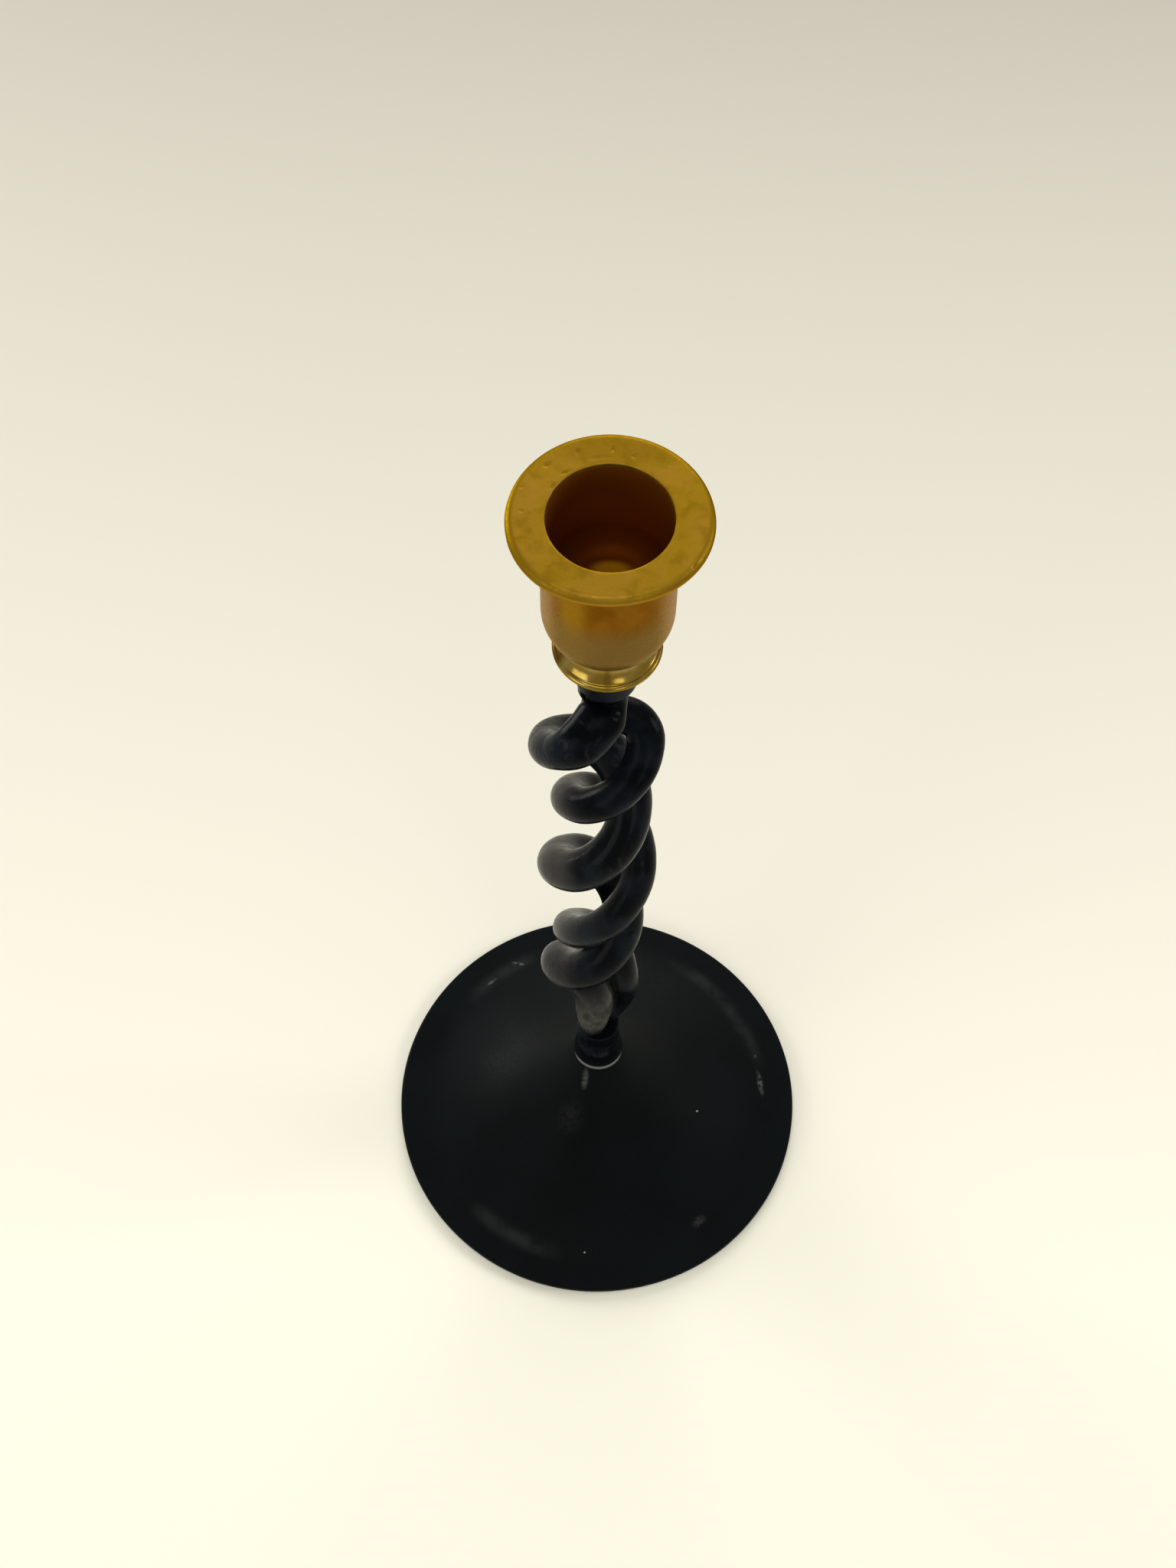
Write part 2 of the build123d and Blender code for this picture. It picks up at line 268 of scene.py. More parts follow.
@dataclass(frozen=True)
class PowderCoat:
    """Matt black powder coat with dust, rubbed spots, an orange-peel skin, and painted highlights along the
    crease, on the seat's front edge and under the seat.
    """

    dark: Colour = (0.0017, 0.0027, 0.003, 1)
    dusty: Colour = (0.0032, 0.0051, 0.0059, 1)
    # Grey of rubbed spots, also used for painted highlights.
    rubbed_and_highlight: Colour = (0.085, 0.087, 0.083, 1)
    # Pale of bare metal at chips, also used for the painted highlight on the seat's front edge.
    chip: Colour = (0.45, 0.45, 0.42, 1)
    crease_r: float = 45.0 * MM
    crease_w: float = 3.2 * MM
    # Painted highlight: a pale ring along the crease, where light catches the bend.
    crease_highlight: float = 0.16
    seat_r: float = 6.3 * MM
    seat_w: float = 0.12 * MM
    haze: Pattern = Pattern(55, 4, (0.35, 0.7))
    grain: Pattern = Pattern(1500, 4, depth=0.02 * MM)
    flaking: Pattern = Pattern(900, 5, (0.3, 0.6))
    crease_highlight_breakup: Pattern = Pattern(130, 4, (0.25, 0.6))
    specks: Specks = Specks(420, 0.055, 0.03, 0.16)
    speck_patches: Pattern = Pattern(90, 2, (0.5, 0.62))
    orange_peel: Pattern = Pattern(650, 2, depth=0.035 * MM)
    rough: Span = (0.5, 0.6)
    grain_span: Span = (0.3, 0.7)
    grain_rough: Span = (-0.04, 0.05)
    gloss: float = 0.04
    scuffs_and_highlights: tuple[Mark, ...] = (
        Mark(-22.7, 38.7, 5.0, 1.2, -12, 1.0),
        Mark(-29.9, 33.0, 4.2, 1.0, 40, 1.0),
        Mark(44.3, 4.9, 9.0, 2.0, 100, 0.8),
        Mark(43.0, 12.6, 1.8, 1.0, 60, 0.7),
        # Painted highlight: bright smear on the front slope just under the seat.
        Mark(-3.2, -7.5, 4.2, 2.4, 80, 0.7),
        Mark(27.7, -34.4, 5.6, 3.4, 40, 0.24),
        # Painted highlight: soft pale blob on the front slope under the seat.
        Mark(-6.7, -13.6, 10.0, 9.0, 0, 0.09, 0.0),
    )
    chips: tuple[Mark, ...] = (
        Mark(26.8, -6.6, 0.9, 0.6, 30, 0.8),
        Mark(-2.3, -43.6, 0.7, 0.6, 0, 0.8),
        Mark(-5.2, 11.2, 0.8, 1.4, 10),
    )
    # Arcs of the crease where its painted highlight shows.
    crease_highlight_arcs: tuple[Mark, ...] = (
        Mark(35.0, 28.0, 52.0, 26.0, -51, 1.0, 0.3),
        Mark(-27.0, 36.0, 30.0, 18.0, 37, 0.8, 0.3),
        Mark(-22.0, -39.5, 34.0, 18.0, -29, 1.0, 0.3),
    )
    # Painted highlight on the seat's front edge.
    seat_front_highlight: tuple[Mark, ...] = (Mark(0.3, -5.0, 15.5, 12.0, 0, 0.35, 0.6),)

    def make(self) -> Material:
        """Build the material."""
        graph = ShaderGraph("matt_black_powder_coat")
        haze = graph.noise(self.haze)
        grain = graph.noise(self.grain)
        # Real scuffs, plus the painted highlights under the seat.
        scuff_and_highlight = graph.times(graph.marks(self.scuffs_and_highlights), graph.noise(self.flaking))
        # Painted highlight along the crease, kept to the arcs where light catches it.
        crease = graph.ring(self.crease_r, self.crease_w, self.crease_highlight)
        crease = graph.times(crease, graph.marks(self.crease_highlight_arcs), graph.noise(self.crease_highlight_breakup))
        specks = graph.times(graph.specks(self.specks), graph.noise(self.speck_patches))
        # Wear and painted highlights together, blended towards the rubbed grey.
        wear_and_highlight = graph.plus(graph.plus(scuff_and_highlight, crease), specks, clamp=True)
        # Chips show bare metal; the seat's front edge gets a painted highlight.
        seat_highlight = graph.times(graph.ring(self.seat_r, self.seat_w), graph.marks(self.seat_front_highlight))
        bare_and_highlight = graph.maths("MAXIMUM", graph.marks(self.chips), seat_highlight)
        black = graph.blend(graph.times(haze, grain), self.dark, self.dusty)
        uneven = graph.remap(grain, *self.grain_span, *self.grain_rough)
        graph.surface(
            Base_Color=graph.blend(bare_and_highlight, graph.blend(wear_and_highlight, black, self.rubbed_and_highlight), self.chip),
            Roughness=graph.plus(graph.between(haze, self.rough), uneven),
            Normal=graph.bump(grain, self.grain.depth, graph.relief(self.orange_peel)),
            Specular_IOR_Level=self.gloss,
        )
        return graph.material


@dataclass(frozen=True)
class SatinLacquer:
    """Satin black lacquer on hand-bent rod, with drawn streaks, dust with painted light on the left of the
    bends, and a rubbed foot with a painted highlight on its lit face.
    """

    dark: Colour = (0.0022, 0.0027, 0.0036, 1)
    bluish: Colour = (0.0062, 0.009, 0.0128, 1)
    # Lighter grey of dust, also painted light on the left side of the bends.
    dusty: Colour = (0.052, 0.047, 0.041, 1)
    rubbed_and_highlight: Colour = (0.078, 0.076, 0.068, 1)
    # No dust and less gloss above this height, which keeps the top loop darker.
    near_top_low: float = 180.0 * MM
    near_top_high: float = 190.0 * MM
    dust_low: float = 90.0 * MM
    dust_high: float = 130.0 * MM
    lit_side_left: float = -9.5 * MM
    lit_side_right: float = -4.5 * MM
    dust_share: Span = (0.15, 0.58)
    # Rubbed metal with a painted highlight on the lit left face of the rods' lower ends.
    foot_highlight_low: float = 57.0 * MM
    foot_highlight_mid: float = 66.0 * MM
    foot_highlight_high: float = 88.0 * MM
    foot_highlight_left: float = 2.2 * MM
    foot_highlight_right: float = 4.6 * MM
    foot_highlight_most: float = 0.95
    foot_highlight_span: Span = (0.2, 0.6)
    foot_highlight_streak: Span = (0.4, 1.0)
    cloud: Pattern = Pattern(140, 4, (0.42, 0.66))
    streak: Pattern = Pattern(420, 5, swirl=1.2, stretch=(1.0, 1.0, 0.35), depth=0.03 * MM)
    rub_patches: Pattern = Pattern(75, 2, (0.5, 0.72))
    rub_span: Span = (0.48, 0.66)
    rub_share: float = 0.2
    chips: Specks = Specks(300, 0.07, 0.04)
    chip_patches: Pattern = Pattern(110, 2, (0.58, 0.68))
    chip_share: float = 0.5
    hammered: Pattern = Pattern(210, 2, depth=0.09 * MM)
    rough: Span = (0.2, 0.29)
    streak_span: Span = (0.35, 0.65)
    streak_rough: Span = (-0.04, 0.07)
    gloss: Span = (0.04, 0.022)

    def make(self) -> Material:
        """Build the material."""
        graph = ShaderGraph("satin_black_lacquer")
        across, _, height = graph.split()
        cloud = graph.noise(self.cloud)
        streak = graph.noise(self.streak)
        rub = graph.times(graph.noise(self.rub_patches), graph.remap(streak, *self.rub_span))
        chip = graph.times(graph.specks(self.chips), graph.noise(self.chip_patches))
        # Rubbed, lighter grey with a painted highlight on the lit left face of the lower ends.
        bare_and_highlight = graph.times(
            graph.remap(height, self.foot_highlight_high, self.foot_highlight_mid, 0.0, self.foot_highlight_most),
            graph.remap(across, self.foot_highlight_right, self.foot_highlight_left),
            graph.remap(height, self.foot_highlight_low, self.foot_highlight_mid),
            graph.remap(streak, *self.foot_highlight_span, *self.foot_highlight_streak),
        )
        wear_and_highlight = graph.plus(graph.times(rub, self.rub_share), graph.times(chip, self.chip_share))
        wear_and_highlight = graph.plus(wear_and_highlight, bare_and_highlight, clamp=True)
        # Share near the top, where the dust is left out and the gloss is lower, so the top loop shows
        # darker.
        near_top = graph.remap(height, self.near_top_low, self.near_top_high)
        # Dust and painted light: the lighter grey sits only on the rods' left side, where the light falls,
        # and grows upward.
        dust_and_light = graph.times(
            graph.remap(height, self.dust_low, self.dust_high, *self.dust_share),
            graph.remap(across, self.lit_side_right, self.lit_side_left),
            graph.maths("SUBTRACT", 1.0, near_top),
        )
        black = graph.blend(dust_and_light, graph.blend(cloud, self.dark, self.bluish), self.dusty)
        uneven = graph.remap(streak, *self.streak_span, *self.streak_rough)
        graph.surface(
            Base_Color=graph.blend(wear_and_highlight, black, self.rubbed_and_highlight),
            Roughness=graph.plus(graph.between(cloud, self.rough), uneven),
            Normal=graph.bump(streak, self.streak.depth, graph.relief(self.hammered)),
            Specular_IOR_Level=graph.between(near_top, self.gloss),
        )
        return graph.material


@dataclass(frozen=True)
class SatinGold:
    """Satin gold of the cup: pitted pale lip, coppery wall and a dark red-brown bore, with painted shade on
    the lip's back and rounded edge and in the bore, and painted highlights and reflections on the lip's
    edge and the wall.
    """

    lip: Colour = (0.275, 0.16, 0.01, 1)
    lip_warm: Colour = (0.3, 0.165, 0.017, 1)
    # Darker lip tone for stains, also used as painted shade at the back of the lip.
    lip_stain_and_shade: Colour = (0.19, 0.112, 0.005, 1)
    # Painted shade on the lip's rounded edge, where it turns down.
    rim: Colour = (0.22, 0.127, 0.008, 1)
    # Painted highlight on the lower rounding of the lip's edge.
    rim_highlight: Colour = (0.4, 0.235, 0.045, 1)
    wall: Colour = (0.16, 0.056, 0.002, 1)
    wall_warm: Colour = (0.2, 0.08, 0.006, 1)
    # Painted reflection: lighter amber on the wall's front-left.
    wall_reflection: Colour = (0.26, 0.13, 0.007, 1)
    wall_low: Colour = (0.155, 0.1, 0.031, 1)
    # Painted reflection: pale pinkish tone at the wall's left and right sides.
    wall_side_reflection: Colour = (0.33, 0.18, 0.075, 1)
    # Dark red-brown of the bore: partly the metal, partly painted shade and copper inter-reflection inside
    # the cup.
    bore: Colour = (0.13, 0.034, 0.002, 1)
    bore_low: Colour = (0.21, 0.042, 0.001, 1)
    # Painted shade on the bore's floor and corner.
    bore_floor_shade: Colour = (0.1, 0.021, 0.001, 1)
    bore_floor: Colour = (0.38, 0.16, 0.005, 1)
    edge: Colour = (0.62, 0.45, 0.12, 1)
    wall_edge: Colour = (0.85, 0.72, 0.52, 1)
    bore_edge: Colour = (0.3, 0.08, 0.008, 1)
    pit: Colour = (0.17, 0.088, 0.008, 1)
    bore_depth: float = 22.5 * MM
    bore_span: Span = (11.2 * MM, 11.0 * MM)
    rim_shade_span: Span = (16.2 * MM, 17.1 * MM)
    lip_below: Span = (3.6 * MM, 2.6 * MM)
    mouth_below: Span = (0.2 * MM, 1.2 * MM)
    rim_highlight_below: Span = (0.9 * MM, 1.7 * MM)
    wall_below: Span = (15.0 * MM, 23.0 * MM)
    wall_low_most: float = 0.85
    bore_below: Span = (2.0 * MM, 13.0 * MM)
    floor_shade_over: Span = (7.0 * MM, 2.0 * MM)
    floor_over: Span = (4.0 * MM, 1.0 * MM)
    hollow_over: Span = (-1.0 * MM, -0.4 * MM)
    cloud: Pattern = Pattern(130, 4, (0.35, 0.65))
    grain: Pattern = Pattern(1300, 4, depth=0.02 * MM)
    turned: Pattern = Pattern(900, 3, stretch=(0.05, 0.05, 1.0), depth=0.012 * MM)
    pit_edges: Pattern = Pattern(700, 4, (0.32, 0.58), depth=0.12 * MM)
    lip_stains: Pattern = Pattern(330, 5, swirl=0.4)
    stain_span: Span = (0.48, 0.68)
    stain_most: float = 0.6
    wall_clouds: Pattern = Pattern(95, 3, (0.42, 0.62), swirl=0.6)
    waves: Pattern = Pattern(260, 3, depth=0.06 * MM)
    pit_dark: float = 0.75
    rough: Span = (0.36, 0.52)
    grain_span: Span = (0.3, 0.7)
    grain_rough: Span = (-0.05, 0.06)
    metallic: Span = (1.0, 0.1)
    gloss: float = 0.06
    # Painted reflections at the wall's left and right sides.
    side_reflections: tuple[Mark, ...] = (
        Mark(-12.6, -2.5, 11.0, 22.0, 0, 0.8, 0.3),
        Mark(12.6, -2.5, 11.0, 22.0, 0, 0.8, 0.3),
    )
    # Painted reflection on the wall's front-left.
    left_reflection: tuple[Mark, ...] = (Mark(-6.5, -10.5, 9.0, 8.0, 0, 0.9, 0.2),)
    # Painted shade on the back of the lip.
    back_shade: tuple[Mark, ...] = (Mark(1.0, 14.5, 36.0, 10.0, 0, 0.6, 0.3),)
    # Lighter golden patch on the bore's floor.
    floor_patch: tuple[Mark, ...] = (Mark(0.3, 4.5, 9.5, 4.8, 0, 1.0, 0.4),)
    pits: tuple[Mark, ...] = (
        Mark(-10.9, 10.5, 2.2, 1.4, 40),
        Mark(-7.7, 9.0, 2.4, 1.1, 35),
        Mark(-5.8, 13.6, 2.2, 1.0, 80, 0.9),
        Mark(0.3, 14.1, 2.0, 0.9, 70, 0.8),
        Mark(4.0, 12.7, 1.9, 1.2, 30, 0.8),
        Mark(-9.8, 6.1, 2.4, 0.9, 60, 0.7),
        Mark(-15.0, 5.7, 1.5, 1.0, 20, 0.6),
        Mark(-15.0, 0.9, 1.4, 1.1, 0, 0.6),
        Mark(-2.0, 12.2, 5.5, 1.2, 8, 0.25),
        Mark(14.0, -9.4, 2.6, 0.8, 55, 0.6),
    )

    def make(self, top: float) -> Material:
        """Build the material.

        Args:
            top: Height of the lip's top.

        Returns:
            The material.
        """
        graph = ShaderGraph("satin_gold")
        height, radius = graph.split()[2], graph.radius()
        bottom = top - self.bore_depth

        def below(span: Span, most: float = 1.0) -> Socket:
            """Share that grows from one depth under the lip's top to another."""
            return graph.remap(height, top - span[0], top - span[1], 0.0, most)

        def over(span: Span) -> Socket:
            """Share that grows from one height over the bore's floor to another."""
            return graph.remap(height, bottom + span[0], bottom + span[1])

        above = below(self.lip_below)
        inside = graph.times(graph.remap(radius, *self.bore_span), below(self.mouth_below))
        inside = graph.times(inside, over(self.hollow_over))
        grain = graph.noise(self.grain)
        pits = graph.times(graph.marks(self.pits), above, graph.noise(self.pit_edges))
        stains = graph.remap(graph.noise(self.lip_stains), *self.stain_span, 0.0, self.stain_most)
        lip = graph.blend(graph.noise(self.cloud), self.lip, self.lip_warm)
        lip = graph.blend(stains, lip, self.lip_stain_and_shade)
        # Painted shade darkens the back of the lip.
        lip = graph.blend(graph.marks(self.back_shade), lip, self.lip_stain_and_shade)
        # Painted shade on the rounded edge of the lip.
        lip = graph.blend(graph.remap(radius, *self.rim_shade_span), lip, self.rim)
        # Painted highlight on the lower rounding of the lip's edge.
        lip = graph.blend(below(self.rim_highlight_below), lip, self.rim_highlight)
        wall = graph.blend(graph.noise(self.wall_clouds), self.wall, self.wall_warm)
        # Painted reflection on the wall's front-left.
        wall = graph.blend(graph.marks(self.left_reflection), wall, self.wall_reflection)
        wall = graph.blend(below(self.wall_below, self.wall_low_most), wall, self.wall_low)
        # Painted reflections at the wall's left and right sides.
        wall = graph.blend(graph.marks(self.side_reflections), wall, self.wall_side_reflection)
        # Redder further down: partly painted inter-reflection and shade inside the cup.
        bore = graph.blend(below(self.bore_below), self.bore, self.bore_low)
        # Painted shade on the bore's floor and corner.
        bore = graph.blend(over(self.floor_shade_over), bore, self.bore_floor_shade)
        # Lighter golden patch on the bore's floor.
        floor_patch = graph.times(over(self.floor_over), graph.marks(self.floor_patch))
        bore = graph.blend(floor_patch, bore, self.bore_floor)
        colour = graph.blend(inside, graph.blend(above, wall, lip), bore)
        sheen = graph.blend(inside, graph.blend(above, self.wall_edge, self.edge), self.bore_edge)
        uneven = graph.remap(grain, *self.grain_span, *self.grain_rough)
        dents = graph.bump(graph.maths("SUBTRACT", 1.0, pits), self.pit_edges.depth)
        lathe = graph.relief(self.turned, graph.relief(self.waves, dents))
        graph.surface(
            Base_Color=graph.blend(graph.times(pits, self.pit_dark), colour, self.pit),
            Metallic=graph.between(inside, self.metallic),
            Specular_IOR_Level=self.gloss,
            Specular_Tint=sheen,
            Roughness=graph.plus(graph.between(above, self.rough), uneven),
            Normal=graph.bump(grain, self.grain.depth, lathe),
        )
        return graph.material


@dataclass(frozen=True)
class PolishedGold:
    """Polished gold of the reel, with fine hairlines from the lathe and painted shade on its sides and
    between its front highlights.
    """

    bright: Colour = (0.33, 0.235, 0.065, 1)
    deep: Colour = (0.22, 0.14, 0.02, 1)
    edge: Colour = (0.7, 0.55, 0.3, 1)
    # Colour of the painted shade on the reel.
    side_shade: Colour = (0.08, 0.036, 0.004, 1)
    cloud: Pattern = Pattern(160, 3, (0.35, 0.65))
    hairline: Pattern = Pattern(1400, 3, stretch=(0.06, 0.06, 1.0), depth=0.006 * MM)
    dents: Pattern = Pattern(240, 2, depth=0.05 * MM)
    rough: Span = (0.13, 0.2)
    hairline_span: Span = (0.4, 0.6)
    hairline_rough: Span = (-0.03, 0.04)
    side_shade_rough: float = 0.25
    # Painted shade on the reel's left and right sides and between its front highlights.
    shade_marks: tuple[Mark, ...] = (
        Mark(-9.0, 0.0, 7.0, 16.0, -15, 0.9, 0.5),
        Mark(9.2, 0.5, 6.0, 16.0, 15, 0.7, 0.5),
        Mark(0.2, -9.0, 2.4, 4.0, 0, 0.5, 0.2),
    )

    def make(self) -> Material:
        """Build the material."""
        graph = ShaderGraph("polished_gold")
        cloud = graph.noise(self.cloud)
        hairline = graph.noise(self.hairline)
        # Painted shade on the sides and front, also rougher there.
        side_shade = graph.marks(self.shade_marks)
        uneven = graph.remap(hairline, *self.hairline_span, *self.hairline_rough)
        rough = graph.plus(graph.between(cloud, self.rough), uneven)
        graph.surface(
            Base_Color=graph.blend(side_shade, graph.blend(cloud, self.bright, self.deep), self.side_shade),
            Metallic=1.0,
            Specular_Tint=self.edge,
            Roughness=graph.plus(rough, graph.times(side_shade, self.side_shade_rough)),
            Normal=graph.bump(hairline, self.hairline.depth, graph.relief(self.dents)),
        )
        return graph.material


@dataclass(frozen=True)
class ZincPlate:
    """Bright zinc on the screw, the washer and the stud."""

    bright: Colour = (0.56, 0.57, 0.6, 1)
    dull: Colour = (0.4, 0.4, 0.4, 1)
    bloom: Pattern = Pattern(350, 4, (0.35, 0.65))
    scratches: Pattern = Pattern(900, 4, swirl=0.5, stretch=(1.0, 0.15, 1.0), depth=0.015 * MM)
    rough: Span = (0.28, 0.42)

    def make(self) -> Material:
        """Build the material."""
        graph = ShaderGraph("bright_zinc")
        bloom = graph.noise(self.bloom)
        graph.surface(
            Base_Color=graph.blend(bloom, self.bright, self.dull),
            Metallic=1.0,
            Roughness=graph.between(bloom, self.rough),
            Normal=graph.relief(self.scratches),
        )
        return graph.material


@dataclass(frozen=True)
class PressedFelt:
    """Dark pressed wool with loose fibres."""

    dark: Colour = (0.012, 0.012, 0.013, 1)
    pale: Colour = (0.035, 0.035, 0.037, 1)
    fibre: Pattern = Pattern(1600, 5, swirl=2.5, depth=0.12 * MM)
    fibre_span: Span = (0.35, 0.7)
    tuft: Pattern = Pattern(300, 3, depth=0.2 * MM)
    rough: float = 0.95
    sheen: float = 0.35
    sheen_rough: float = 0.5

    def make(self) -> Material:
        """Build the material."""
        graph = ShaderGraph("pressed_felt")
        fibre = graph.noise(self.fibre)
        graph.surface(
            Base_Color=graph.blend(graph.remap(fibre, *self.fibre_span), self.dark, self.pale),
            Roughness=self.rough,
            Sheen_Weight=self.sheen,
            Sheen_Roughness=self.sheen_rough,
            Normal=graph.bump(fibre, self.fibre.depth, graph.relief(self.tuft)),
        )
        return graph.material


@dataclass
class Outline:
    """Half section of a turned piece, as points of radius and height in metres."""

    points: list[Vector] = field(default_factory=list)

    def start(self, radius: float, height: float) -> "Outline":
        """Put down the first point."""
        self.points.append(Vector((radius, height)))
        return self

    def line(self, radius: float, height: float, step: float = MM) -> "Outline":
        """Go straight to a point, in short steps.

        Args:
            radius: Radius of the end.
            height: Height of the end.
            step: Longest step.

        Returns:
            The outline itself.
        """
        first, last = self.points[-1], Vector((radius, height))
        count = max(1, round((last - first).length / step))
        self.points += [first.lerp(last, n / count) for n in range(1, count + 1)]
        return self

    def arc(self, radius: float, height: float, way: Sequence[float], count: int = 16) -> "Outline":
        """Go along the arc that leaves in a direction and ends at a point.

        Args:
            radius: Radius of the end.
            height: Height of the end.
            way: Direction at the arc's start.
            count: Steps along the arc.

        Returns:
            The outline itself.
        """
        first, last = self.points[-1], Vector((radius, height))
        left = Vector((-way[1], way[0])).normalized()
        chord = last - first
        reach = chord.length_squared / (2 * chord.dot(left))
        centre = first + left * reach
        begin = math.atan2(first.y - centre.y, first.x - centre.x)
        end = math.atan2(last.y - centre.y, last.x - centre.x)
        turn = (end - begin) % math.tau if reach > 0 else -((begin - end) % math.tau)
        angles = [begin + turn * n / count for n in range(1, count + 1)]
        self.points += [centre + Vector((math.cos(a), math.sin(a))) * abs(reach) for a in angles]
        return self

    def curve(self, corner: Sequence[float], end: Sequence[float], count: int = 8) -> "Outline":
        """Round a corner softly on the way to a point.

        Args:
            corner: Radius and height of the corner that is cut.
            end: Radius and height of the end.
            count: Steps along the curve.

        Returns:
            The outline itself.
        """
        first, bend, last = self.points[-1], Vector(corner), Vector(end)
        for n in range(1, count + 1):
            share = n / count
            self.points.append(first.lerp(bend, share).lerp(bend.lerp(last, share), share))
        return self


def link(thing: Piece) -> Piece:
    """Put an object into the scene."""
    bpy.context.scene.collection.objects.link(thing)
    return thing


def link_piece(name: str, mesh: bpy.types.Mesh) -> Piece:
    """Put a mesh into the scene as a smooth-shaded piece."""
    mesh.shade_smooth()
    return link(bpy.data.objects.new(name, mesh))


def turn_piece(
    name: str, outline: Outline, sides: int, closed: bool, shift: Shift | None = None
) -> Piece:
    """Turn an outline about the holder's axis.

    Args:
        name: Name of the piece.
        outline: Its half section.
        sides: Steps round the axis.
        closed: Whether the last point joins the first, as on a ring.
        shift: Unevenness along the surface's normal at a point, in metres.

    Returns:
        The new object.
    """
    shape = bmesh.new()
    rings: list[list[bmesh.types.BMVert]] = []
    for point in outline.points:
        if point.x < ON_AXIS:
            rings.append([shape.verts.new((0, 0, point.y))] * sides)
            continue
        angles = [math.tau * n / sides for n in range(sides)]
        around = [(point.x * math.cos(a), point.x * math.sin(a), point.y) for a in angles]
        rings.append([shape.verts.new(place) for place in around])
    pairs = list(zip(rings, rings[1:]))
    if closed:
        pairs.append((rings[-1], rings[0]))
    for lower, upper in pairs:
        for n in range(sides):
            m = (n + 1) % sides
            corners = list(dict.fromkeys((lower[n], lower[m], upper[m], upper[n])))
            if len(corners) > 2:
                shape.faces.new(corners)
    bmesh.ops.recalc_face_normals(shape, faces=shape.faces)
    if shift is not None:
        push_out(shape, shift)
    mesh = bpy.data.meshes.new(name)
    shape.to_mesh(mesh)
    shape.free()
    return link_piece(name, mesh)


def push_out(shape: bmesh.types.BMesh, shift: Shift) -> None:
    """Move each vertex along its normal, by a shift in metres."""
    shape.normal_update()
    moves = [(vert, vert.normal * shift(vert.co)) for vert in shape.verts]
    for vert, move in moves:
        vert.co += move


def move_each(piece: Piece, move: Callable[[Vertex], Vector]) -> None:
    """Move the vertices of a piece, each by what its first place and normal ask for.

    Args:
        piece: Piece to change.
        move: Way to go from a vertex, in metres.
    """
    moves = [move(vert) for vert in piece.data.vertices]
    for vert, way in zip(piece.data.vertices, moves):
        vert.co += way


def share_of(value: float, start: float, end: float) -> float:
    """Share of the way from start to end, kept from 0 to 1."""
    return min(1.0, max(0.0, (value - start) / (end - start)))


def smooth(share: float) -> float:
    """A share from 0 to 1, eased at both ends."""
    return share * share * (3 - 2 * share)


@dataclass(frozen=True)
class Unevenness:
    """Hand-made unevenness: long swells and short ripples on a coat of lacquer, in metres."""

    swell: float
    swell_length: float
    ripple: float
    ripple_length: float
    coat: float = 0.0

    def __call__(self, at: Vector) -> float:
        """Move of the surface at a point."""
        long = self.coat + noise.noise(at / self.swell_length) * self.swell
        return long + noise.noise(at / self.ripple_length + RIPPLE_SHIFT) * self.ripple


def rework_node(node: Node, name: str, voxel: float, passes: int, shift: Shift) -> Piece:
    """Even, finer copy of a solid, with its edges eased and its surface made slightly uneven.

    Args:
        node: Solid to copy.
        name: Name of the new piece.
        voxel: Size of the new faces.
        passes: Rounds of smoothing.
        shift: Unevenness along the normal.

    Returns:
        The new object.
    """
    draft = link(bpy.data.objects.new(name + "_draft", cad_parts[node.value].data.copy()))
    remesh = draft.modifiers.new("even_faces", "REMESH")
    remesh.mode = "VOXEL"
    remesh.voxel_size = voxel
    ease = draft.modifiers.new("eased_edges", "SMOOTH")
    ease.factor = EASE
    ease.iterations = passes
    mesh = bpy.data.meshes.new_from_object(draft.evaluated_get(bpy.context.evaluated_depsgraph_get()))
    bpy.data.objects.remove(draft)
    mesh.materials.clear()
    shape = bmesh.new()
    shape.from_mesh(mesh)
    push_out(shape, shift)
    shape.to_mesh(mesh)
    shape.free()
    return link_piece(name, mesh)


def dress(piece: Piece, material: Material) -> None:
    """Give a piece one material all over."""
    piece.data.materials.clear()
    piece.data.materials.append(material)


def seat(piece: Piece, node: Node, material: Material) -> None:
    """Let a new piece stand for a solid, with its finish.

    Args:
        piece: The new piece.
        node: Solid that it stands for.
        material: Material of the piece.
    """
    dress(piece, material)
    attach(piece, BODY)
    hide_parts(node.value)
    LOG.info("%s stands for %s", piece.name, node.value)


def keep(node: Node, material: Material) -> None:
    """Keep a solid as it is, with the material of a finish that the record names."""
    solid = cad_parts[node.value]
    dress(solid, material)
    LOG.info("%s kept", node.value)


